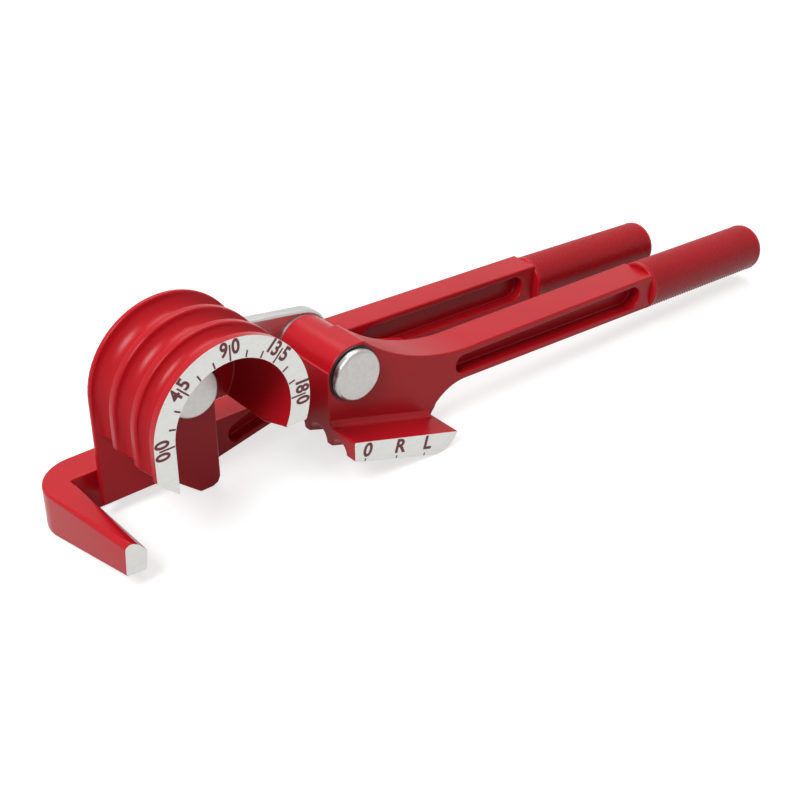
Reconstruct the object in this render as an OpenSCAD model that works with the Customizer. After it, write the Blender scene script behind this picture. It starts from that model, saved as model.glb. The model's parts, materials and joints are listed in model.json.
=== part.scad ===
// Hand tube bender for three tube sizes.
// A forming handle carries a grooved forming head and a hook for the tube. A flat link turns on a
// headed pin at the centre of the head, and carries the shoe handle on a second headed pin.
// Construction frame: X to the right along the handles, Y to the rear along the bend axis, Z up,
// with its zero on the bend axis at the front face of the head. The finished part is moved so that
// its own origin lies on the flat underside of the forming handle, below the bend axis.

/* [Tubes and forming head] */
// Outside diameter of the smallest tube, in the front groove
tube_small = 6.35; // [5:0.05:6.5]
// Outside diameter of the middle tube
tube_middle = 7.94; // [7:0.05:8.1]
// Outside diameter of the largest tube, in the rear groove
tube_large = 9.53; // [8.5:0.05:10]
// Clearance between a tube and its groove, on the diameter
tube_clearance = 0.2; // [0.1:0.05:0.3]
// Bend radius, from the bend axis to the middle of the tube
bend_r = 24; // [23:0.5:25]
// Radial width of the bare scale face of the head
scale_w = 6.2; // [5.5:0.1:7]
// Land in front of the front groove
front_land = 2.6; // [2:0.1:3]
// Land between two grooves
mid_land = 2.5; // [2:0.1:3]
// Land behind the rear groove
rear_land = 1.6; // [1.2:0.1:2]
// Depth of the hollow in the head, from its front face to its web
hollow_d = 26.5; // [25:0.5:28]
// Height of the right end of the head below the bend axis, at its front face
right_leg = 8.3; // [7:0.1:9]
// How much lower the right end lies behind its sloped front part
right_leg_fall = 1.9; // [1:0.1:2.4]
// Height of the left leg below the bend axis, at its groove side
left_leg = 9.2; // [8:0.1:10]
// How much lower the left leg ends at its inner side
left_leg_slope = 5.7; // [4:0.1:6]

/* [Forming handle] */
// Width of the handle beam, front to rear
beam_w = 10.6; // [10:0.1:12]
// Height of the beam behind the hook
beam_h = 12.8; // [12:0.1:14]
// Height of the bend axis above the flat underside of the beam
axis_h = 38; // [37.5:0.1:39]
// Distance from the bend axis to the inner side of the hook bar
hook_reach = 28.9; // [28.8:0.1:31]
// Width of the hook bar at its free end
hook_tip_w = 6.4; // [5.5:0.1:7]
// Height of the hook bar at its free end
hook_tip_h = 10; // [9:0.1:10.5]
// Width of the top of the hook bar at its root
hook_root_w = 8.2; // [7.5:0.1:9]
// Outer corner radius of the hook
hook_corner_r = 13; // [11:0.5:14]
// Distance from the bend axis to the shoulder of the rear grip
rear_shoulder = 146; // [140:1:155]

/* [Shoe handle] */
// Distance from the shoe pin to the lands of the shoe
shoe_drop = 22.4; // [22:0.1:23]
// Gap between the shoe and the head when they face each other
shoe_gap = 0.4; // [0.3:0.05:0.6]
// Thickness of the shoe at its bare scale face
shoe_h = 6.2; // [5.5:0.1:7]
// Length of the shoe beyond the point below its pin
shoe_len = 36.8; // [36:0.1:38]
// Tilt of the upper side of the shoe below the horizontal
shoe_tilt = 17; // [16:0.5:18]
// How much more the grooved underside of the shoe is tilted
shoe_wedge = 1.5; // [1:0.1:2.5]
// How far the shoe stands forward of the front face of the head
shoe_front = 1.6; // [1:0.1:3]
// Radius of the eye round the shoe pin
eye_r = 8.7; // [8.6:0.1:9.5]
// Setback of the eye from the front face of the head
eye_setback = 10; // [9.5:0.1:11]
// Width of the handle, front to rear
handle_w = 12.8; // [12:0.1:13.5]
// Distance from the bend axis to the shoulder of the front grip
front_shoulder = 174; // [168:1:180]

/* [Handles and grips] */
// Height of the front handle at its grip
handle_h = 11.8; // [11.5:0.1:13]
// Height of the rear handle at its grip
rear_h = 12.5; // [11.5:0.1:13.5]
// Thickness of the flanges of the handle section
flange_t = 1.9; // [1.5:0.1:2.2]
// Thickness of the web of the handle section
web_t = 2.8; // [2.2:0.1:4]
// Diameter of a grip
grip_d = 16.4; // [15.5:0.1:17.5]
// Length of a grip
grip_len = 59; // [52:1:64]
// Radius of the round end of a grip
grip_end_r = 2.4; // [1.5:0.1:3]
// Diameter of the handle spigot inside a grip
spigot_d = 9; // [8:0.5:9.4]
// Length of the handle spigot inside a grip
spigot_len = 48; // [40:1:50]

/* [Link and pins] */
// Angle of the closed link below the horizontal
link_drop = 8.85; // [8:0.05:10]
// Thickness of the link
link_t = 3.6; // [3:0.1:3.6]
// Half width of the link
link_r = 9.8; // [9:0.1:10]
// Diameter of the pins
pin_d = 8; // [7:0.1:8.4]
// Diameter of the pin heads
head_d = 15.8; // [15:0.1:16.4]
// Thickness of the pin heads
head_t = 2.4; // [2:0.1:2.8]
// Wall of the bushes that the pins turn in
bush_wall = 1.2; // [1:0.1:1.5]
// Radial running clearance of a pin in its bush
pin_clearance = 0.05; // [0.03:0.01:0.08]
// Thickness of the washers under the pin heads
washer_t = 0.6; // [0.5:0.1:0.8]
// How far a washer stands out past its pin head
washer_rim = 0.5; // [0.3:0.1:0.6]
// Thickness of the shims beside the link
shim_t = 0.4; // [0.3:0.1:0.5]
// Height of the boss that the centre pin's head sits on
boss_h = 4.7; // [4:0.1:6]

/* [Hidden] */
$fn = 96;
eps = 0.01;

red = [0.62, 0.03, 0.06];
steel = [0.72, 0.72, 0.70];
bronze = [0.60, 0.45, 0.22];
black = [0.06, 0.06, 0.06];

// Grooves, front to rear: radius and the place of the middle along the bend axis.
tubes = [tube_small, tube_middle, tube_large];
groove_r = [for (d = tubes) (d + tube_clearance) / 2];
groove_y = [
    front_land + groove_r[0],
    front_land + 2 * groove_r[0] + mid_land + groove_r[1],
    front_land + 2 * groove_r[0] + 2 * mid_land + 2 * groove_r[1] + groove_r[2]];
head_d_y = groove_y[2] + groove_r[2] + rear_land;
inner_r = bend_r - scale_w;

// The link runs in a slot between the head and the beam.
link_y = head_d_y + shim_t;
beam_y = link_y + link_t + shim_t;
beam_top = beam_h - axis_h;
beam_bottom = -axis_h;
slot_floor = -16.5;

// Shoe pin, as a point in the X and Z of the construction frame.
pin_span = bend_r + shoe_gap + shoe_drop;
pin_x = pin_span * cos(link_drop);
pin_z = -pin_span * sin(link_drop);

// Pins and bushes.
pin_r = pin_d / 2;
bush_in_r = pin_r + pin_clearance;
bush_out_r = bush_in_r + bush_wall;
rivet_flare = 1.1;
centre_seat = hollow_d - boss_h;

// The eye of the shoe handle ends at the shim in front of the link.
eye_back = link_y - shim_t;

// Handle axes: both grips lie on a gently falling line.
front_slope = 2.5;
rear_slope = 3.2;
front_axis_z = -23.5;
rear_axis_z = -23;
front_mid_y = eye_setback + handle_w / 2;
rear_mid_y = beam_y + beam_w / 2;
pocket_end = 5.5;

// Moves the construction frame so that the part's own origin is on the underside of the beam.
module in_place() {
    translate([0, -rear_mid_y, axis_h]) children();
}

// Extrudes an outline drawn in X and Z along Y, from y0 to y1.
module along_y(y0, y1) {
    translate([0, y1, 0]) rotate([90, 0, 0]) linear_extrude(y1 - y0) children();
}

// A round bar along Y.
module round_y(r, y0, y1) {
    translate([0, y0, 0]) rotate([-90, 0, 0]) cylinder(r = r, h = y1 - y0);
}

// A turned body about Y: the outline gives radius and place along Y.
module turned_y() {
    rotate([-90, 0, 0]) rotate_extrude() children();
}

// Moves to the shoe pin.
module at_shoe_pin() {
    translate([pin_x, 0, pin_z]) children();
}

// Section of the head: a bar with the three grooves in its outer side.
module head_section() {
    difference() {
        translate([inner_r, 0]) square([scale_w, head_d_y]);
        for (i = [0:2]) translate([bend_r, groove_y[i]]) circle(r = groove_r[i]);
    }
}

// Grooved part of the head: round over the top to the right end, and straight down on the left.
web_drop = right_leg + right_leg_fall;
right_leg_run = 9;
module head_arch() {
    over = asin(web_drop / inner_r) + 1;
    difference() {
        rotate([-90, 0, 0]) rotate([0, 0, -180]) rotate_extrude(angle = 180 + over) head_section();
        rotate([90, 0, 90]) linear_extrude(2 * bend_r) polygon([[-right_leg_run, -2 * bend_r],
            [-right_leg_run, right_leg_fall - right_leg], [right_leg_run, -web_drop],
            [head_d_y + 1, -web_drop], [head_d_y + 1, -2 * bend_r]]);
    }
    intersection() {
        translate([0, 0, -bend_r]) linear_extrude(bend_r) mirror([1, 0]) head_section();
        along_y(-1, head_d_y + 1) polygon([[-2 * bend_r, 0], [-2 * bend_r, -left_leg],
            [-bend_r, -left_leg], [-inner_r, -left_leg - left_leg_slope], [0, -left_leg - left_leg_slope],
            [0, 0]]);
    }
}

// Web at the back of the hollow, with its lower edge level with the right end of the head.
module head_web() {
    along_y(hollow_d, head_d_y) union() {
        difference() {
            circle(r = inner_r + 1);
            translate([-bend_r, -2 * bend_r - web_drop]) square([2 * bend_r, 2 * bend_r]);
        }
        translate([-inner_r - 1, -web_drop]) square([inner_r, web_drop]);
    }
}

// Post below the boss, cut away at its lower left, on a foot that reaches the beam below the slot of
// the link. A rear strut beside the foot stands behind the rear groove, so it leaves the path of the
// tube free, and narrows to the beam.
post_left = -5;
post_top = -7.5;
post_slope = 0.84;
foot_x = 3.8;
foot_right = 10.6;
foot_corner = 2.7;
strut_right = 5.6;
strut_y = groove_y[2] + groove_r[2];
strut_bottom = -33.4;
strut_taper = 6.5;
module head_struts() {
    toe = [[foot_right - foot_corner, beam_bottom],
        [foot_right - 0.3 * foot_corner, beam_bottom + 0.3 * foot_corner],
        [foot_right, beam_bottom + foot_corner]];
    along_y(hollow_d, head_d_y) polygon(concat([[foot_x, beam_bottom]], toe,
        [[foot_right, post_top], [post_left, post_top],
        [post_left, beam_bottom + (foot_x - post_left) * post_slope]]));
    along_y(head_d_y - 1, beam_y + 2) polygon(concat([[foot_x + 0.8, beam_bottom]], toe,
        [[foot_right, slot_floor], [foot_x + 0.8, slot_floor]]));
    translate([0, 0, strut_bottom]) linear_extrude(slot_floor - strut_bottom) polygon([
        [-bend_r, strut_y], [-bend_r, head_d_y], [strut_taper - bend_r, beam_y + 2],
        [strut_right, beam_y + 2], [strut_right, strut_y]]);
    along_y(strut_y, head_d_y) translate([-inner_r - 0.5, slot_floor - 3])
        square([strut_right + inner_r + 0.5, 15]);
    along_y(strut_y, head_d_y) translate([-bend_r, slot_floor - 3])
        square([scale_w, 4.5 - left_leg - slot_floor]);
}

// Hook: the left end of the beam turns forward into a tapered bar. The inner side of the bar leans
// back at its root, and has a sloped upper edge at its free end.
hook_tip_top = -23;
hook_lean = 5;
hook_inner = -hook_reach - 1.1;
hook_outer = hook_inner - hook_root_w;
hook_root_y = beam_y + beam_w - hook_corner_r;
module hook() {
    tip_left = -hook_reach - hook_tip_w;
    tip_bottom = hook_tip_top - hook_tip_h;
    hull() {
        along_y(0, 1) polygon([[tip_left - 0.2, tip_bottom + 0.6], [tip_left + 0.3, hook_tip_top - 0.9],
            [tip_left + 2, hook_tip_top], [-hook_reach - 2.4, hook_tip_top - 1.1],
            [-hook_reach, hook_tip_top - 3.9], [-hook_reach - 0.7, tip_bottom]]);
        along_y(hook_root_y - 1, hook_root_y) polygon([[hook_outer, beam_bottom],
            [hook_outer, beam_top], [hook_inner, beam_top], [hook_inner + hook_lean, beam_bottom]]);
    }
    difference() {
        translate([0, 0, beam_bottom]) linear_extrude(beam_h) difference() {
            translate([hook_outer, hook_root_y]) square([-hook_outer, hook_corner_r]);
            translate([hook_outer - 1, hook_root_y]) difference() {
                square(hook_corner_r + 1);
                translate([hook_corner_r + 0.95, 0]) circle(r = hook_corner_r);
            }
        }
        along_y(hook_root_y - 1, beam_y) polygon([[hook_inner, beam_top],
            [hook_inner - hook_lean, beam_top + beam_h], [1, beam_top + beam_h],
            [1, beam_bottom - beam_h], [hook_inner + 2 * hook_lean, beam_bottom - beam_h],
            [hook_inner + hook_lean, beam_bottom]]);
    }
}

// Pockets on both sides of a handle leave a web between two flanges. The outline is the pocket's.
module pockets(y0, w) {
    depth = (w - web_t) / 2;
    along_y(y0 - eps, y0 + depth) children();
    along_y(y0 + w - depth, y0 + w + eps) children();
}

// A pocket outline with round ends between two points, with its own radius at each end. The sides
// cross the round ends a hair inside their edge, which keeps the solid clean.
module pocket_outline(a, ra, b, rb) {
    n = 0.985 * [a[1] - b[1], b[0] - a[0]] / norm(b - a);
    translate(a) circle(r = ra);
    translate(b) circle(r = rb);
    polygon([a + ra * n, b + rb * n, b - rb * n, a - ra * n]);
}

// Upper and lower edges of the rear and front handles at a place along X.
function rear_top(x) = rear_axis_z + 1.4 + rear_h / 2 + (rear_shoulder - x) * 0.043;
function rear_bottom(x) = rear_axis_z + 1.4 - rear_h / 2 + (rear_shoulder - x) * 0.035;
function front_top(x) = front_axis_z + 0.3 + handle_h / 2 + (front_shoulder - x) * 0.032;
function front_bottom(x) = front_axis_z + 0.3 - handle_h / 2 + (front_shoulder - x) * 0.0446;
function rear_mid(x) = (rear_top(x) + rear_bottom(x)) / 2;
function front_mid(x) = (front_top(x) + front_bottom(x)) / 2;

// The end of a handle is square to its grip: the place along X of a point at a height.
function rear_end(z) = rear_shoulder + (z - rear_axis_z) * tan(rear_slope);
function front_end(z) = front_shoulder + (z - front_axis_z) * tan(front_slope);

// Rear handle: the beam rises from behind the hook, and runs on as an I section to its grip.
root_x = 17.3;
root_end = 75;
rise_x = 28;
rise_end = 62;
module rear_beam() {
    top = rear_top(rear_shoulder);
    bottom = rear_bottom(rear_shoulder);
    last = rear_shoulder - pocket_end - 4;
    difference() {
        along_y(beam_y, beam_y + beam_w) polygon([
            [-10, beam_bottom], [root_x, beam_bottom], [root_end, rear_bottom(root_end)],
            [rear_end(bottom), bottom], [rear_end(top), top], [rise_end, rear_top(rise_end)],
            [rise_end - 10, rear_top(rise_end) - 2.8], [rise_x + 12, beam_top + 4.4],
            [rise_x, beam_top], [-10, beam_top]]);
        pockets(beam_y, beam_w) union() {
            pocket_outline([root_x + 7, beam_bottom + 6.3], 3, [root_end - 25, rear_mid(root_end) - 4.4], 4.8);
            pocket_outline([root_end + 1, rear_mid(root_end)], rear_h / 2 - flange_t,
                [last, rear_mid(last)], rear_h / 2 - flange_t);
        }
    }
}

// Spigot that carries a grip.
module spigot() {
    rotate([0, 90, 0]) translate([0, 0, -2]) cylinder(d = spigot_d, h = spigot_len + 2);
}

// Moves to the shoulder of the rear or front grip, with X along the grip.
module at_rear_grip() {
    translate([rear_shoulder, rear_mid_y, rear_axis_z]) rotate([0, rear_slope, 0]) children();
}
module at_front_grip() {
    translate([front_shoulder, front_mid_y, front_axis_z]) rotate([0, front_slope, 0]) children();
}

// Round grip with a blind hole for the spigot.
module grip() {
    rotate([0, 90, 0]) rotate_extrude() difference() {
        union() {
            square([grip_d / 2, grip_len - grip_end_r]);
            square([grip_d / 2 - grip_end_r, grip_len]);
            translate([grip_d / 2 - grip_end_r, grip_len - grip_end_r]) circle(r = grip_end_r);
        }
        square([spigot_d / 2, spigot_len]);
    }
}

module forming_handle() {
    color(red) in_place() difference() {
        union() {
            head_arch();
            head_web();
            round_y(head_d / 2 - 0.4, centre_seat, hollow_d + 1);
            head_struts();
            hook();
            rear_beam();
            at_rear_grip() spigot();
        }
        round_y(bush_out_r, centre_seat - eps, head_d_y + eps);
    }
}

module rear_grip() {
    color(red) in_place() at_rear_grip() grip();
}

// Plain bush in a bored seat.
module bush(y0, y1) {
    difference() {
        round_y(bush_out_r, y0, y1);
        round_y(bush_in_r, y0 - eps, y1 + eps);
    }
}

// Flat ring on a pin.
module flat_ring(r, y0, t) {
    difference() {
        round_y(r, y0, y0 + t);
        round_y(bush_in_r, y0 - eps, y0 + t + eps);
    }
}

// Headed pin, riveted flush into the countersink of the link.
module headed_pin(seat_y) {
    edge = 0.5;
    top = seat_y - washer_t - head_t;
    end = link_y + link_t;
    turned_y() polygon([[0, top], [head_d / 2 - edge, top], [head_d / 2, top + edge],
        [head_d / 2, top + head_t], [pin_r, top + head_t], [pin_r, end - rivet_flare],
        [pin_r + rivet_flare, end], [0, end]]);
}

module centre_bush() {
    color(bronze) in_place() bush(centre_seat, head_d_y);
}

module centre_washer() {
    color(black) in_place() flat_ring(head_d / 2 - 0.4, centre_seat - washer_t, washer_t);
}

module centre_shim() {
    color(steel) in_place() flat_ring(link_r - 1.5, head_d_y, shim_t);
}

module link() {
    color(steel) in_place() difference() {
        along_y(link_y, link_y + link_t) union() {
            circle(r = link_r);
            translate([pin_x, pin_z]) circle(r = link_r);
            rotate(-link_drop) translate([0, -link_r]) square([pin_span, 2 * link_r]);
        }
        link_hole();
        at_shoe_pin() link_hole();
    }
}

module link_hole() {
    end = link_y + link_t;
    turned_y() polygon([[0, link_y - eps], [pin_r, link_y - eps], [pin_r, end - rivet_flare],
        [pin_r + rivet_flare, end], [pin_r + rivet_flare, end + eps], [0, end + eps]]);
}

module centre_pin() {
    color(steel) in_place() headed_pin(centre_seat);
}

module shoe_pin() {
    color(steel) in_place() at_shoe_pin() headed_pin(eye_setback);
}

// Shoe: a tilted bar with the three grooves along its underside and a round lower end. The bar
// grows a little thicker to that end.
shoe_end_r = 8;
shoe_left = pin_x - eye_r;
shoe_fillet = 2.6;
module shoe() {
    intersection() {
        at_shoe_pin() rotate([0, shoe_tilt, 0]) difference() {
            translate([-eye_r - 8, eye_setback - shoe_fillet, shoe_h - shoe_drop - 1])
                cube([shoe_len + eye_r + 6, shoe_fillet + 2, shoe_fillet + 1]);
            translate([-eye_r - 9, eye_setback - shoe_fillet, shoe_h - shoe_drop + shoe_fillet])
                rotate([0, 90, 0]) cylinder(r = 1.04 * shoe_fillet, h = 2 * shoe_len);
        }
        translate([shoe_left, -shoe_front - 1, -2 * axis_h])
            cube([2 * shoe_len, 2 * head_d_y, 2 * axis_h]);
    }
    intersection() {
        at_shoe_pin() difference() {
            rotate([0, shoe_tilt + shoe_wedge, 0]) difference() {
                along_y(-shoe_front, head_d_y) difference() {
                    translate([-eye_r - 8, -shoe_drop]) square([shoe_len + eye_r + 8, 2 * shoe_h]);
                    translate([shoe_len - shoe_end_r, -shoe_drop]) difference() {
                        translate([0, -eps]) square(shoe_end_r + eps);
                        translate([0, shoe_end_r]) circle(r = shoe_end_r);
                    }
                }
                // The grooves run the whole length of the underside.
                for (i = [0:2]) translate([-2 * eye_r, groove_y[i], -shoe_drop]) rotate([0, 90, 0])
                    cylinder(r = groove_r[i], h = 2 * shoe_len);
            }
            rotate([0, shoe_tilt, 0]) translate([-shoe_len, -shoe_front - 1, shoe_h - shoe_drop])
                cube([3 * shoe_len, head_d_y + shoe_front + 2, 3 * shoe_h]);
        }
        translate([shoe_left, -shoe_front - 1, -2 * axis_h])
            cube([2 * shoe_len, 2 * head_d_y, 2 * axis_h]);
    }
}

// Outline of the eye and the web below it, down to the top of the shoe.
throat_r = 16;
throat_x = 89.2;
module eye_outline() {
    shoe_top = shoe_drop - shoe_h + 0.3;
    difference() {
        union() {
            translate([pin_x, pin_z]) circle(r = eye_r);
            translate([pin_x, pin_z]) rotate(-shoe_tilt) translate([-eye_r - 8, -shoe_top])
                square([shoe_len + eye_r + 8 + 2, shoe_top]);
        }
        translate([pin_x - eye_r - 2 * shoe_len, -2 * axis_h]) square([2 * shoe_len, 4 * axis_h]);
        throat();
        neck_hollow();
    }
}

// Hollow curve under the handle, from the end of the shoe to the lower edge of the handle.
module throat() {
    translate([throat_x, front_bottom(throat_x) - throat_r]) circle(r = throat_r);
}

// Hollow curve over the neck, from the top of the eye to the upper edge of the handle.
neck_r = 66;
neck_x = 92;
module neck_hollow() {
    translate([neck_x + 2, front_top(neck_x + 2) + neck_r - 0.1]) circle(r = neck_r, $fn = 192);
}

module neck_outline() {
    top = front_top(front_shoulder);
    bottom = front_bottom(front_shoulder);
    difference() {
        polygon([[pin_x, pin_z + eye_r], [neck_x, pin_z + eye_r], [neck_x, front_top(neck_x)],
            [front_end(top), top], [front_end(bottom), bottom], [throat_x, front_bottom(throat_x)],
            [pin_x + 28, -32], [pin_x, pin_z - 12]]);
        throat();
        neck_hollow();
    }
}

module shoe_handle() {
    pocket_r = handle_h / 2 - flange_t;
    last = front_shoulder - pocket_end - pocket_r;
    color(red) in_place() difference() {
        union() {
            along_y(eye_setback, eye_back) eye_outline();
            difference() {
                along_y(eye_setback, eye_setback + handle_w) neck_outline();
                pockets(eye_setback, handle_w)
                    pocket_outline([neck_x - 3, front_mid(neck_x)], pocket_r - 0.9,
                        [last, front_mid(last)], pocket_r);
            }
            shoe();
            at_front_grip() spigot();
        }
        at_shoe_pin() round_y(bush_out_r, eye_setback - eps, eye_back + eps);
    }
}

module front_grip() {
    color(red) in_place() at_front_grip() grip();
}

module shoe_bush() {
    color(bronze) in_place() at_shoe_pin() bush(eye_setback, eye_back);
}

module shoe_washer() {
    color(black) in_place() at_shoe_pin()
        flat_ring(head_d / 2 + washer_rim, eye_setback - washer_t, washer_t);
}

module shoe_shim() {
    color(steel) in_place() at_shoe_pin() flat_ring(link_r - 1.5, eye_back, shim_t);
}

forming_handle();
rear_grip();
centre_bush();
centre_washer();
centre_shim();
link();
centre_pin();
shoe_pin();
shoe_handle();
front_grip();
shoe_bush();
shoe_washer();
shoe_shim();
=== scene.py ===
# Hand tube bender: a forming handle with a grooved head and a hook, a link, and a shoe handle.
import json
import math
import bpy
import bmesh
from mathutils import Matrix, Vector


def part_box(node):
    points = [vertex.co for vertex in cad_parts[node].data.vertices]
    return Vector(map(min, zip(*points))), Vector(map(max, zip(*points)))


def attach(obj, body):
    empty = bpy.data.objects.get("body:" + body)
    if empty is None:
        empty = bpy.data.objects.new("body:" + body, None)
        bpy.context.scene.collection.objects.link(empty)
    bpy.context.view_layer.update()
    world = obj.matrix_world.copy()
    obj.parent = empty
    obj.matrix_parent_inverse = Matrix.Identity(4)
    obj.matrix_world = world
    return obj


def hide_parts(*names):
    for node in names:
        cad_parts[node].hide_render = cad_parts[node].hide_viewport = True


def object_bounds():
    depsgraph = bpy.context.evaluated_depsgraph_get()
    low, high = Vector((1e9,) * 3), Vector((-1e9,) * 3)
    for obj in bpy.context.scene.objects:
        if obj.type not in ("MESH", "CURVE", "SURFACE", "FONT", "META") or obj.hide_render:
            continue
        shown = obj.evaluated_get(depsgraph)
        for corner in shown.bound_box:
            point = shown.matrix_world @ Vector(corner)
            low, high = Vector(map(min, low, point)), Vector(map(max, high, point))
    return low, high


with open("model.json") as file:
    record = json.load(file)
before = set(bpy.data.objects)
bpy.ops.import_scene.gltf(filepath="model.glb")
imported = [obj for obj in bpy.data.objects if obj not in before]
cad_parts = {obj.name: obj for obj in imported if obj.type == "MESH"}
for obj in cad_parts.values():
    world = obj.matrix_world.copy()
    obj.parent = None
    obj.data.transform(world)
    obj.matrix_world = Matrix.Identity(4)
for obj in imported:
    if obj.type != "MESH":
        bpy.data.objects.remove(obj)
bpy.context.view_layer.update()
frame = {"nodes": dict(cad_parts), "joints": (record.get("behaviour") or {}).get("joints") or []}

# Camera. The photograph looks down on the tool from the hook side, from a little under half a metre
# away, with a moderately long lens.
camera_data = bpy.data.cameras.new("photo_camera")
camera_data.sensor_fit = "HORIZONTAL"
camera_data.sensor_width = 36.0
camera_data.lens = 63.06
camera_data.clip_start = 0.01
camera = bpy.data.objects.new("photo_camera", camera_data)
bpy.context.scene.collection.objects.link(camera)
camera_at = Vector((-0.16271, -0.30423, 0.22988))
camera_right = Vector((0.7675, -0.6411, 0.0))
camera_up = Vector((0.3333, 0.3990, 0.8543))
camera_back = Vector((-0.5477, -0.6556, 0.5199))


def facing(right, up, normal, at):
    """A matrix that lays a thing's own x, y and z along three directions, with its origin at a point."""
    return Matrix((
        (right.x, up.x, normal.x, at.x),
        (right.y, up.y, normal.y, at.y),
        (right.z, up.z, normal.z, at.z),
        (0, 0, 0, 1)))


camera.matrix_world = facing(camera_right, camera_up, camera_back, camera_at)
bpy.context.scene.camera = camera

# Forming handle. One die casting in red powder coat carries the grooved head, the hook, the beam
# and the rear handle. Its front faces are milled bare after coating, so they show pale metal.
mm = 0.001
head_front_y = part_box("forming_handle")[0].y
casting_edge_r = 0.55 * mm
rear_grip_at = Vector((146, 0, 15)) * mm
rear_grip_slope = math.radians(3.2)


def finish_piece(bm, name, body, material):
    """Turns a bmesh into a smooth piece that rides on a body."""
    smooth_up_to = math.radians(32)
    mesh = bpy.data.meshes.new(name)
    bm.to_mesh(mesh)
    bm.free()
    for polygon in mesh.polygons:
        polygon.use_smooth = True
    mesh.set_sharp_from_angle(angle=smooth_up_to)
    mesh.materials.append(material)
    piece = bpy.data.objects.new(name, mesh)
    bpy.context.scene.collection.objects.link(piece)
    flat_faces = piece.modifiers.new("flat_faces_shade_flat", "WEIGHTED_NORMAL")
    flat_faces.keep_sharp = True
    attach(piece, body)
    return piece


def softened_copy(node, edge_r, keep_sharp):
    """A merged copy of a node's mesh with its edges rounded, apart from those that stay sharp."""
    weld_within = 3e-6
    flat_up_to = math.radians(0.4)
    edge_from = math.radians(30)
    bm = bmesh.new()
    bm.from_mesh(frame["nodes"][node].data)
    bmesh.ops.remove_doubles(bm, verts=bm.verts, dist=weld_within)
    bmesh.ops.dissolve_limit(bm, angle_limit=flat_up_to, verts=bm.verts, edges=bm.edges)
    edges = [e for e in bm.edges if len(e.link_faces) == 2
             and e.calc_face_angle(0.0) > edge_from and not keep_sharp(e)]
    bmesh.ops.bevel(bm, geom=edges, offset=edge_r, offset_type="OFFSET", segments=3, profile=0.5,
                    affect="EDGES", clamp_overlap=False, material=-1)
    return bm


def new_material(name):
    """A new material, with its nodes, links and shader."""
    material = bpy.data.materials.new(name)
    material.use_nodes = True
    nodes = material.node_tree.nodes
    return material, nodes, material.node_tree.links, nodes["Principled BSDF"]


def new_group(name, inputs, outputs):
    """A new node group with named sockets, with its nodes, links, input node and output node."""
    group = bpy.data.node_groups.new(name, "ShaderNodeTree")
    for socket, socket_type in inputs.items():
        group.interface.new_socket(socket, in_out="INPUT", socket_type=socket_type)
    for socket in outputs:
        group.interface.new_socket(socket, in_out="OUTPUT", socket_type="NodeSocketFloat")
    nodes = group.nodes
    return group, nodes, group.links, nodes.new("NodeGroupInput"), nodes.new("NodeGroupOutput")


def placed_group(nodes, group, values):
    """Places a node group in a material with its own values, and returns its outputs."""
    placed = nodes.new("ShaderNodeGroup")
    placed.node_tree = group
    for socket, value in values.items():
        placed.inputs[socket].default_value = value
    return placed.outputs


def coat_grain_group():
    """Fine orange peel and slight unevenness of a sprayed coat."""
    group, nodes, links, given, out = new_group(
        "sprayed_coat_grain", {"Scale": "NodeSocketFloat"}, ("Tone", "Height"))
    place = nodes.new("ShaderNodeTexCoord")
    peel = nodes.new("ShaderNodeTexNoise")
    peel.inputs["Detail"].default_value = 2.0
    links.new(place.outputs["Object"], peel.inputs["Vector"])
    links.new(given.outputs["Scale"], peel.inputs["Scale"])
    cloud = nodes.new("ShaderNodeTexNoise")
    cloud.inputs["Scale"].default_value = 45.0
    links.new(place.outputs["Object"], cloud.inputs["Vector"])
    links.new(cloud.outputs["Fac"], out.inputs["Tone"])
    links.new(peel.outputs["Fac"], out.inputs["Height"])
    return group


def streaks_group():
    """Fine streaks, as a cutter or rubbing leaves on bare metal."""
    group, nodes, links, given, out = new_group(
        "metal_streaks", {"Stretch": "NodeSocketVector", "Turn": "NodeSocketVector"}, ("Streaks",))
    place = nodes.new("ShaderNodeTexCoord")
    stretch = nodes.new("ShaderNodeMapping")
    links.new(place.outputs["Object"], stretch.inputs["Vector"])
    links.new(given.outputs["Stretch"], stretch.inputs["Scale"])
    links.new(given.outputs["Turn"], stretch.inputs["Rotation"])
    noise = nodes.new("ShaderNodeTexNoise")
    noise.inputs["Scale"].default_value = 1.0
    noise.inputs["Detail"].default_value = 3.0
    links.new(stretch.outputs["Vector"], noise.inputs["Vector"])
    links.new(noise.outputs["Fac"], out.inputs["Streaks"])
    return group


coat_grain = coat_grain_group()
metal_streaks = streaks_group()


def tone_between(nodes, links, amount, dark, pale):
    """A colour that goes from dark to pale as an amount goes from 0 to 1."""
    tone = nodes.new("ShaderNodeValToRGB")
    tone.color_ramp.elements[0].color = dark
    tone.color_ramp.elements[1].color = pale
    links.new(amount, tone.inputs["Fac"])
    return tone.outputs["Color"]


def level_between(nodes, links, amount, low, high):
    """A value that goes from low to high as an amount goes from 0 to 1."""
    level = nodes.new("ShaderNodeMapRange")
    level.inputs["To Min"].default_value = low
    level.inputs["To Max"].default_value = high
    links.new(amount, level.inputs["Value"])
    return level.outputs["Result"]


coat_dark = (0.33, 0.0042, 0.0085, 1)
coat_pale = (0.41, 0.0062, 0.0125, 1)
coat_roughness = 0.3


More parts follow.
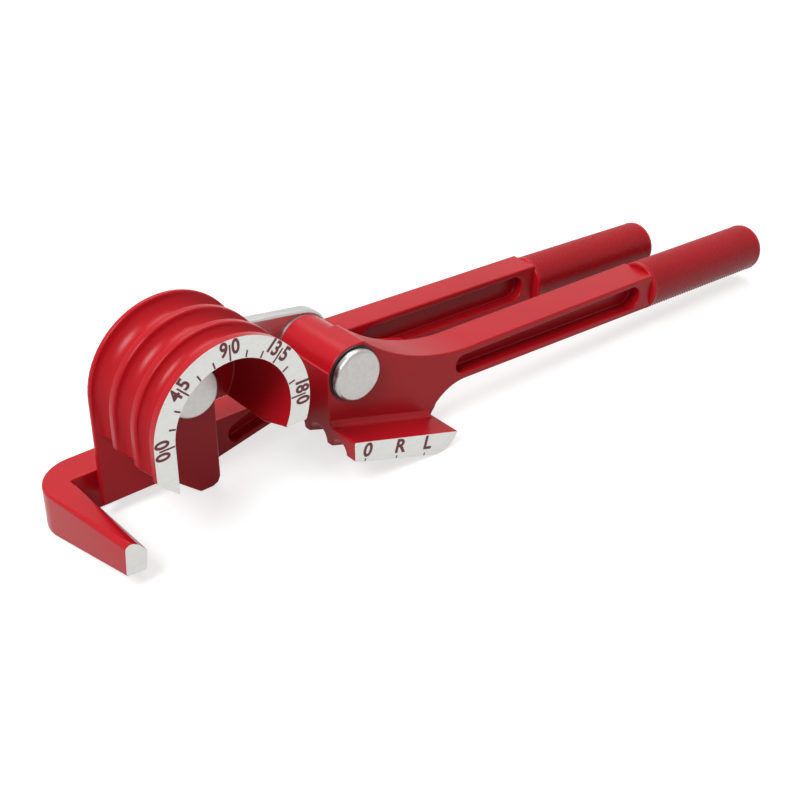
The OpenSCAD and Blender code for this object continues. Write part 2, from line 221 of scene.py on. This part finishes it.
def red_coat(name):
    """Glossy red powder coat."""
    material, nodes, links, shader = new_material(name)
    grain = placed_group(nodes, coat_grain, {"Scale": 900.0})
    red = tone_between(nodes, links, grain["Tone"], coat_dark, coat_pale)
    links.new(red, shader.inputs["Base Color"])
    bump = nodes.new("ShaderNodeBump")
    bump.inputs["Strength"].default_value = 0.08
    bump.inputs["Distance"].default_value = 0.2 * mm
    links.new(grain["Height"], bump.inputs["Height"])
    links.new(bump.outputs["Normal"], shader.inputs["Normal"])
    shader.inputs["Specular IOR Level"].default_value = 0.17
    shader.inputs["Roughness"].default_value = coat_roughness
    return material


def mix_by_attribute(material, attribute):
    """Mixes a second colour into the base colour by an attribute of the piece.
    Returns the attribute's value and the socket for the second colour."""
    nodes, links = material.node_tree.nodes, material.node_tree.links
    base = nodes["Principled BSDF"].inputs["Base Color"]
    amount = nodes.new("ShaderNodeAttribute")
    amount.attribute_name = attribute
    mix = nodes.new("ShaderNodeMix")
    mix.data_type = "RGBA"
    first_colour, second_colour, mixed_colour = mix.inputs[6], mix.inputs[7], mix.outputs[2]
    links.new(amount.outputs["Fac"], mix.inputs["Factor"])
    links.new(base.links[0].from_socket, first_colour)
    links.new(mixed_colour, base)
    return amount.outputs["Fac"], second_colour


milled_dark = (0.63, 0.63, 0.605, 1)
milled_pale = (0.78, 0.78, 0.755, 1)
milled_roughness = 0.5
milled_metallic = 0.55


def bare_where_milled(material):
    """Shows bare metal with cutter marks on the faces that a piece marks as milled."""
    nodes, links = material.node_tree.nodes, material.node_tree.links
    shader = nodes["Principled BSDF"]
    bare, metal_colour = mix_by_attribute(material, "milled")
    cutter = placed_group(nodes, metal_streaks, {"Stretch": (350, 50, 2600), "Turn": (0, 0.5, 0)})
    links.new(tone_between(nodes, links, cutter["Streaks"], milled_dark, milled_pale), metal_colour)
    roughness = level_between(nodes, links, bare, coat_roughness, milled_roughness)
    links.new(roughness, shader.inputs["Roughness"])
    links.new(level_between(nodes, links, bare, 0.0, milled_metallic), shader.inputs["Metallic"])
    return material


casting_red = bare_where_milled(red_coat("casting_red_with_milled_front"))
plane_tolerance = 0.02 * mm
end_tolerance = 0.05 * mm


def lies_at_y(part, y):
    """True for an edge or face that lies in a plane across the bend axis."""
    return all(abs(v.co.y - y) < plane_tolerance for v in part.verts)


def mark_milled(bm, milled_y):
    """Marks the faces of the milled front for the material."""
    layer = bm.faces.layers.float.new("milled")
    for face in bm.faces:
        face[layer] = 1.0 if lies_at_y(face, milled_y) else 0.0
    return bm


def stays_sharp(edge, milled_y, grip_at, grip_slope):
    """True for an edge of the milled front, or of the end that a grip closes."""
    grip_axis = Vector((math.cos(grip_slope), 0, -math.sin(grip_slope)))
    closed = all(abs((v.co - grip_at).dot(grip_axis)) < end_tolerance for v in edge.verts)
    return closed or lies_at_y(edge, milled_y)


left_leg_outer = Vector((-24, 0, 28.8)) * mm
left_leg_slope = 5.7 / 6.2
left_zone_right_x = -19.5 * mm
left_zone_front_y = -12.3 * mm


def forming_edge_stays(edge):
    """Also keeps the sloped end of the head's left leg, where it runs out into the strut."""
    left_end = all(
        v.co.x < left_zone_right_x and v.co.y > left_zone_front_y and abs(
            v.co.z - left_leg_outer.z + (v.co.x - left_leg_outer.x) * left_leg_slope) < end_tolerance
        for v in edge.verts)
    return left_end or stays_sharp(edge, head_front_y, rear_grip_at, rear_grip_slope)


bm = mark_milled(softened_copy("forming_handle", casting_edge_r, forming_edge_stays), head_front_y)
forming_casting = finish_piece(bm, "forming_casting", "forming", casting_red)
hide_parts("forming_handle")

# Degree scale. Dark red figures and ticks are printed on the milled front of the head. The two halves
# of a number stand on either side of its tick.
scale_inner_r = 17.8 * mm
scale_tick_start = 0.15 * mm
scale_tick_w = 0.5 * mm
scale_tick_long = 4.6 * mm
scale_tick_short = 2.0 * mm
scale_figure_rise = 3.6 * mm
scale_figure_h = 4.0 * mm
scale_figure_stretch = 0.84
scale_figure_gap = 0.55 * mm
ink_lift = 0.03 * mm


def fine_speckle_group():
    """Small soft spots, as ink, a turned skin or an oxide film shows close up."""
    group, nodes, links, given, out = new_group("fine_speckle", {"Scale": "NodeSocketFloat"}, ("Spots",))
    place = nodes.new("ShaderNodeTexCoord")
    noise = nodes.new("ShaderNodeTexNoise")
    noise.inputs["Detail"].default_value = 3.0
    links.new(place.outputs["Object"], noise.inputs["Vector"])
    links.new(given.outputs["Scale"], noise.inputs["Scale"])
    links.new(noise.outputs["Fac"], out.inputs["Spots"])
    return group


fine_speckle = fine_speckle_group()


def patterned(name, group, values, pattern, dark, pale, metallic, rough_low, rough_high):
    """A finish in which a pattern of a node group goes between two tones and two roughnesses."""
    material, nodes, links, shader = new_material(name)
    amount = placed_group(nodes, group, values)[pattern]
    links.new(tone_between(nodes, links, amount, dark, pale), shader.inputs["Base Color"])
    links.new(level_between(nodes, links, amount, rough_low, rough_high), shader.inputs["Roughness"])
    shader.inputs["Metallic"].default_value = metallic
    return material


def speckled(name, scale, dark, pale, metallic, rough_low, rough_high):
    """A finish that varies in fine spots."""
    return patterned(name, fine_speckle, {"Scale": scale}, "Spots", dark, pale, metallic, rough_low,
                     rough_high)


ink = speckled("dark_red_ink", scale=900.0, dark=(0.085, 0.006, 0.013, 1), pale=(0.15, 0.012, 0.022, 1),
               metallic=0.0, rough_low=0.5, rough_high=0.6)


def add_figure(bm, words, height, stretch, align, at, right, up):
    """Adds figures to a bmesh, standing on the milled front with their middle at a point."""
    figure_share_of_size = 0.69
    boldness = 0.045
    curve = bpy.data.curves.new("figure", "FONT")
    curve.body = words
    curve.size = height / figure_share_of_size
    curve.align_x = align
    curve.align_y = "CENTER"
    curve.resolution_u = 4
    curve.offset = height * boldness
    curve.space_character = 0.84
    curve.extrude = ink_lift
    holder = bpy.data.objects.new("figure", curve)
    bpy.context.scene.collection.objects.link(holder)
    bpy.context.view_layer.update()
    mesh = bpy.data.meshes.new_from_object(holder.evaluated_get(
        bpy.context.evaluated_depsgraph_get()))
    mesh.transform(facing(right * stretch, up, right.cross(up), at))
    bm.from_mesh(mesh)
    bpy.data.objects.remove(holder)
    bpy.data.curves.remove(curve)
    bpy.data.meshes.remove(mesh)


def add_tick(bm, at, right, up, width, length):
    """Adds a thin bar that starts at a point and runs along up."""
    made = bmesh.ops.create_cube(bm, size=1.0)["verts"]
    thickness = right.cross(up) * 2 * ink_lift
    middle = at + up * (length / 2)
    bmesh.ops.transform(bm, verts=made, matrix=facing(right * width, up * length, thickness, middle))


hinge = {joint["name"]: Vector(joint["pos_m"]) for joint in frame["joints"]}
scale_middle = Vector((hinge["link_swing"].x, head_front_y, hinge["link_swing"].z))
split_numbers = {0: ("0", "0"), 45: ("4", "5"), 90: ("9", "0"), 135: ("13", "5"), 180: ("18", "0")}
last_bend, bend_step = 180, 15
bm = bmesh.new()
for bend in range(0, last_bend + 1, bend_step):
    turn = math.radians(last_bend - bend)
    up = Vector((math.cos(turn), 0, math.sin(turn)))
    right = Vector((math.sin(turn), 0, -math.cos(turn)))
    numbered = bend in split_numbers
    tick_at = scale_middle + up * (scale_inner_r + scale_tick_start)
    add_tick(bm, tick_at, right, up, scale_tick_w, scale_tick_long if numbered else scale_tick_short)
    if numbered:
        middle = scale_middle + up * (scale_inner_r + scale_figure_rise)
        for words, align, side in zip(split_numbers[bend], ("RIGHT", "LEFT"), (-1, 1)):
            figure_at = middle + right * side * scale_figure_gap
            add_figure(bm, words, scale_figure_h, scale_figure_stretch, align, figure_at, right, up)
finish_piece(bm, "degree_scale", "forming", ink)

# Link. A flat steel strap, blanked and plated, with its front edges rounded. It turns behind the head
# about the bend axis and carries the shoe handle. Both pins are riveted flush into it from behind.
link_edge_r = 0.8 * mm
link_back_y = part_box("link")[1].y
plated_steel = patterned(
    "plated_steel", metal_streaks, {"Stretch": (120, 1500, 900)}, "Streaks", dark=(0.44, 0.44, 0.435, 1),
    pale=(0.60, 0.60, 0.59, 1), metallic=1.0, rough_low=0.24, rough_high=0.42)


def on_the_back(edge):
    """True for an edge of the link's flat back."""
    return lies_at_y(edge, link_back_y)


link_strap = finish_piece(softened_copy("link", link_edge_r, on_the_back), "link_strap", "link",
                          plated_steel)
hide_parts("link")

# Pins. Both are turned steel with a low round head, whose rim is rolled over to a bright edge.
# The tail of each is flared into the link.
pin_head_r = 7.9 * mm
pin_head_h = 2.4 * mm
pin_rim_r = 1.1 * mm
pin_under_bevel = 0.3 * mm
pin_shank_r = 4.0 * mm
pin_flare = 1.1 * mm
pin_steel = speckled("turned_pin_steel", scale=650.0, dark=(0.36, 0.35, 0.335, 1),
                     pale=(0.50, 0.49, 0.475, 1), metallic=1.0, rough_low=0.28, rough_high=0.4)


def quarter_turn(steps):
    """The angles of a quarter round, without its start."""
    return [math.pi / 2 * step / steps for step in range(1, steps + 1)]


def turned_pin(name, node):
    """Spins a pin about its own axis: the rolled rim of its head, its shank and its riveted tail."""
    low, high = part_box(node)
    middle = (low + high) / 2
    top, under, tail = low.y, low.y + pin_head_h, high.y
    outline = [(0.0, top), (pin_head_r - pin_rim_r, top)]
    outline += [(pin_head_r - pin_rim_r * (1 - math.sin(a)), top + pin_rim_r * (1 - math.cos(a)))
                for a in quarter_turn(5)]
    outline += [(pin_head_r, under - pin_under_bevel), (pin_head_r - pin_under_bevel, under)]
    outline += [(pin_shank_r, under), (pin_shank_r, tail - pin_flare)]
    outline += [(pin_shank_r + pin_flare, tail), (0.0, tail)]
    bm = bmesh.new()
    chain = [bm.verts.new((middle.x + r, y, middle.z)) for r, y in outline]
    edges = [bm.edges.new(pair) for pair in zip(chain, chain[1:])]
    bmesh.ops.spin(bm, geom=chain + edges, cent=(middle.x, 0, middle.z), axis=(0, 1, 0),
                   angle=2 * math.pi, steps=96, use_merge=True)
    bmesh.ops.remove_doubles(bm, verts=bm.verts, dist=1e-6)
    bmesh.ops.recalc_face_normals(bm, faces=bm.faces)
    pin = finish_piece(bm, name, "link", pin_steel)
    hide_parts(node)


turned_pin("centre_headed_pin", "centre_pin")
turned_pin("shoe_headed_pin", "shoe_pin")

# Shoe handle. The second casting has an eye for its pin, a tilted shoe with the same grooves, and
# the front handle. It is coated red, and the front of the shoe is milled bare.
shoe_front_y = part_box("shoe_handle")[0].y
front_grip_at = Vector((174, -26.92, 14.5)) * mm
front_grip_slope = math.radians(2.5)
neck_back_y = -20.52 * mm
eye_zone_right_x = 58 * mm
eye_zone_low_z = 33 * mm
throat_zone_low = Vector((74.2, 0, 3.4)) * mm
throat_zone_high = Vector((77.5, 0, 6.4)) * mm


def shoe_edge_stays(edge):
    """Also keeps two places where a face runs out and leaves no room for a round."""
    eye_top = lies_at_y(edge, neck_back_y) and all(
        v.co.x < eye_zone_right_x and v.co.z > eye_zone_low_z for v in edge.verts)
    throat_end = any(
        throat_zone_low.x < v.co.x < throat_zone_high.x
        and throat_zone_low.z < v.co.z < throat_zone_high.z for v in edge.verts)
    return eye_top or throat_end or stays_sharp(edge, shoe_front_y, front_grip_at, front_grip_slope)


bm = mark_milled(softened_copy("shoe_handle", casting_edge_r, shoe_edge_stays), shoe_front_y)
shoe_casting = finish_piece(bm, "shoe_casting", "shoe", casting_red)
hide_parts("shoe_handle")

# Shoe marks. A figure and two letters are printed on the milled front of the shoe in the ink of the
# degree scale. Each has a short tick at the edge that faces the tube.
shoe_top_tilt = 17
shoe_land_tilt = 18.5
shoe_figure_drop = 19.0 * mm
shoe_figure_h = 4.1 * mm
shoe_figure_stretch = 1.1
shoe_tick_drop = 22.3 * mm
shoe_tick_w = 0.45 * mm
shoe_tick_len = 0.9 * mm
shoe_figure_x = {"0": 1.5 * mm, "R": 14.0 * mm, "L": 24.9 * mm}
shoe_tick_x = {"0": 1.9 * mm, "R": 14.0 * mm, "L": 25.1 * mm}
shoe_pin_at = Vector((hinge["shoe_swing"].x, shoe_front_y, hinge["shoe_swing"].z))


def tilted(degrees):
    """Directions along a line that falls to the right, and square to it."""
    turn = math.radians(degrees)
    return Vector((math.cos(turn), 0, -math.sin(turn))), Vector((math.sin(turn), 0, math.cos(turn)))


top_along, top_up = tilted(shoe_top_tilt)
land_along, land_up = tilted(shoe_land_tilt)
bm = bmesh.new()
for mark in shoe_figure_x:
    tick_at = shoe_pin_at + land_along * shoe_tick_x[mark] - land_up * shoe_tick_drop
    add_tick(bm, tick_at, land_along, land_up, shoe_tick_w, shoe_tick_len)
    figure_at = shoe_pin_at + top_along * shoe_figure_x[mark] - top_up * shoe_figure_drop
    add_figure(bm, mark, shoe_figure_h, shoe_figure_stretch, "CENTER", figure_at, top_along, top_up)
finish_piece(bm, "shoe_marks", "shoe", ink)

# Grips. Each is a round sleeve with a blind hole, pressed on a spigot at the end of its handle. It is
# knurled with a fine diamond pattern and coated red like the castings, with painted shade in the
# valleys.
grip_r = 8.2 * mm
grip_len = 59.0 * mm
grip_face_inner_r = 5.2 * mm
grip_start_round = 0.8 * mm
grip_end_round = 2.4 * mm
grip_cap_r = 3.0 * mm
grip_cap_middle_r = 0.02 * mm
knurl_depth = 0.2 * mm
knurl_fade = 1.0 * mm
knurl_around, knurl_rows, knurl_samples = 42, 46, 4
knurl_red = red_coat("knurled_red")
# The knurl's valleys are painted a darker red, as painted shade in the recesses.
valley_painted_shade = mix_by_attribute(knurl_red, "knurl_valley_shade")[1]
valley_painted_shade.default_value = (0.2, 0.0025, 0.005, 1)


def knurl_sink(x, phi, first, last):
    """How far the diamond pattern sinks below the grip's radius at a place along and round it."""
    along = (x - first) / (last - first) * knurl_rows
    around = phi / (2 * math.pi) * knurl_around
    one_way, other_way = (along + around) % 1.0, (along - around) % 1.0
    sink = knurl_depth * max(abs(one_way - 0.5), abs(other_way - 0.5)) * 2
    return sink * min(1.0, (x - first) / knurl_fade, (last - x) / knurl_fade)


def knurled_grip(name, node, body, at, slope):
    """Draws a ring along the grip's profile, sinks the knurl where it is straight, and marks the valleys
    for painted shade.
    """
    first, last = grip_start_round, grip_len - grip_end_round
    steps = knurl_rows * knurl_samples
    profile = [(0.0, grip_face_inner_r), (0.0, grip_r - grip_start_round)]
    profile += [(grip_start_round * (1 - math.cos(a)), grip_r - grip_start_round * (1 - math.sin(a)))
                for a in quarter_turn(4)[:-1]]
    profile += [(first + (last - first) * step / steps, grip_r) for step in range(steps + 1)]
    profile += [(last + grip_end_round * math.sin(a), grip_r - grip_end_round * (1 - math.cos(a)))
                for a in quarter_turn(4)]
    profile += [(grip_len, grip_cap_r), (grip_len, grip_cap_middle_r)]
    bm = bmesh.new()
    valley_shade_layer = bm.verts.layers.float.new("knurl_valley_shade")
    ring = bmesh.ops.create_circle(bm, cap_ends=False, segments=knurl_around * knurl_samples,
                                   radius=1.0)["verts"]
    edges = list(bm.edges)
    for station, (x, r) in enumerate(profile):
        if station:
            made = bmesh.ops.extrude_edge_only(bm, edges=edges)["geom"]
            ring = [g for g in made if isinstance(g, bmesh.types.BMVert)]
            edges = [g for g in made if isinstance(g, bmesh.types.BMEdge)]
        for v in ring:
            # The first ring is made flat in x and y, and then stands across the grip as the others do.
            phi = math.atan2(v.co.z, v.co.y) if station else math.atan2(v.co.y, v.co.x)
            sink = knurl_sink(x, phi, first, last) if r == grip_r else 0.0
            # The deeper a point sinks, the more painted shade its valley gets.
            v[valley_shade_layer] = (sink / knurl_depth) ** 3
            v.co = Vector((x, (r - sink) * math.cos(phi), (r - sink) * math.sin(phi)))
    bmesh.ops.remove_doubles(bm, verts=bm.verts, dist=1e-6)
    bmesh.ops.holes_fill(bm, edges=[e for e in bm.edges if e.is_boundary], sides=0)
    bmesh.ops.recalc_face_normals(bm, faces=bm.faces)
    bmesh.ops.transform(bm, verts=bm.verts, matrix=Matrix.Translation(at)
                        @ Matrix.Rotation(slope, 4, "Y"))
    grip = finish_piece(bm, name, body, knurl_red)
    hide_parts(node)


knurled_grip("rear_knurled_grip", "rear_grip", "forming", rear_grip_at, rear_grip_slope)
knurled_grip("front_knurled_grip", "front_grip", "shoe", front_grip_at, front_grip_slope)

# Bushes, washers and shims. Turned bronze bushes line the holes for the pins, near-black steel washers
# lie under the pin heads, and plated shims lie beside the link. They show as their plain solids.
bronze = speckled("bush_bronze", scale=500.0, dark=(0.36, 0.22, 0.08, 1), pale=(0.52, 0.36, 0.15, 1),
                  metallic=1.0, rough_low=0.34, rough_high=0.46)
near_black_finish = speckled("near_black_steel", scale=700.0, dark=(0.010, 0.010, 0.011, 1),
                     pale=(0.03, 0.03, 0.03, 1), metallic=0.6, rough_low=0.4, rough_high=0.5)
ring_finishes = {"bush": bronze, "washer": near_black_finish, "shim": plated_steel}
for pin_name in ("centre", "shoe"):
    for ring_name, finish in ring_finishes.items():
        ring_mesh = frame["nodes"][pin_name + "_" + ring_name].data
        ring_mesh.materials.clear()
        ring_mesh.materials.append(finish)

# Floor and light. A white floor and sky, with one lamp above the hook side and a weaker, larger one
# above the back. The floor glows less near the tool, where a soft shadow shows.
floor_gap = 0.3 * mm
floor_mesh = bpy.data.meshes.new("floor")
bm = bmesh.new()
bmesh.ops.create_grid(bm, x_segments=1, y_segments=1, size=6.0)
bm.to_mesh(floor_mesh)
bm.free()
floor = bpy.data.objects.new("floor", floor_mesh)
floor.location = (0, 0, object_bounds()[0].z - floor_gap)
bpy.context.scene.collection.objects.link(floor)
floor_white, nodes, links, shader = new_material("floor_white")


def background_ray(nodes, links):
    """1 for a ray that should see the white studio: from the camera, a gloss or through glass."""
    path = nodes.new("ShaderNodeLightPath")
    gloss = nodes.new("ShaderNodeMath")
    gloss.operation = "MAXIMUM"
    links.new(path.outputs["Is Camera Ray"], gloss.inputs[0])
    links.new(path.outputs["Is Glossy Ray"], gloss.inputs[1])
    seen = nodes.new("ShaderNodeMath")
    seen.operation = "MAXIMUM"
    links.new(gloss.outputs["Value"], seen.inputs[0])
    links.new(path.outputs["Is Transmission Ray"], seen.inputs[1])
    return seen.outputs["Value"]


place = nodes.new("ShaderNodeTexCoord")
distance = nodes.new("ShaderNodeVectorMath")
distance.operation = "LENGTH"
links.new(place.outputs["Object"], distance.inputs[0])
fade = nodes.new("ShaderNodeMapRange")
fade.interpolation_type = "SMOOTHSTEP"
fade.inputs["From Min"].default_value = 0.3
fade.inputs["From Max"].default_value = 0.9
fade.inputs["To Min"].default_value = 0.7
fade.inputs["To Max"].default_value = 1.0
links.new(distance.outputs["Value"], fade.inputs["Value"])
glow = nodes.new("ShaderNodeMath")
glow.operation = "MULTIPLY"
links.new(fade.outputs["Result"], glow.inputs[0])
links.new(background_ray(nodes, links), glow.inputs[1])
shader.inputs["Base Color"].default_value = (0.4, 0.4, 0.4, 1)
shader.inputs["Roughness"].default_value = 0.9
shader.inputs["Specular IOR Level"].default_value = 0.0
shader.inputs["Emission Color"].default_value = (1, 1, 1, 1)
links.new(glow.outputs["Value"], shader.inputs["Emission Strength"])
floor_mesh.materials.append(floor_white)
sky_light = 0.4
sky_seen = 1.0
world = bpy.data.worlds.new("studio")
world.use_nodes = True
nodes, links = world.node_tree.nodes, world.node_tree.links
sky = nodes["Background"]
sky.inputs["Color"].default_value = (1, 1, 1, 1)
links.new(level_between(nodes, links, background_ray(nodes, links), sky_light, sky_seen),
          sky.inputs["Strength"])
bpy.context.scene.world = world


def add_lamp(name, at, target, size, power):
    """Adds a square lamp that shines at a target."""
    lamp = bpy.data.lights.new(name, "AREA")
    lamp.size = size
    lamp.energy = power
    holder = bpy.data.objects.new(name, lamp)
    holder.location = at
    holder.rotation_euler = (Vector(target) - Vector(at)).to_track_quat("-Z", "Y").to_euler()
    bpy.context.scene.collection.objects.link(holder)


add_lamp("key_lamp", at=(-0.55, -0.25, 0.75), target=(0.05, 0, 0.02), size=0.4, power=8.6)
add_lamp("top_lamp", at=(0.25, 0.35, 0.9), target=(0.08, 0, 0.02), size=0.6, power=6.0)

bpy.context.scene.view_settings.view_transform = "Standard"
bpy.context.view_layer.update()
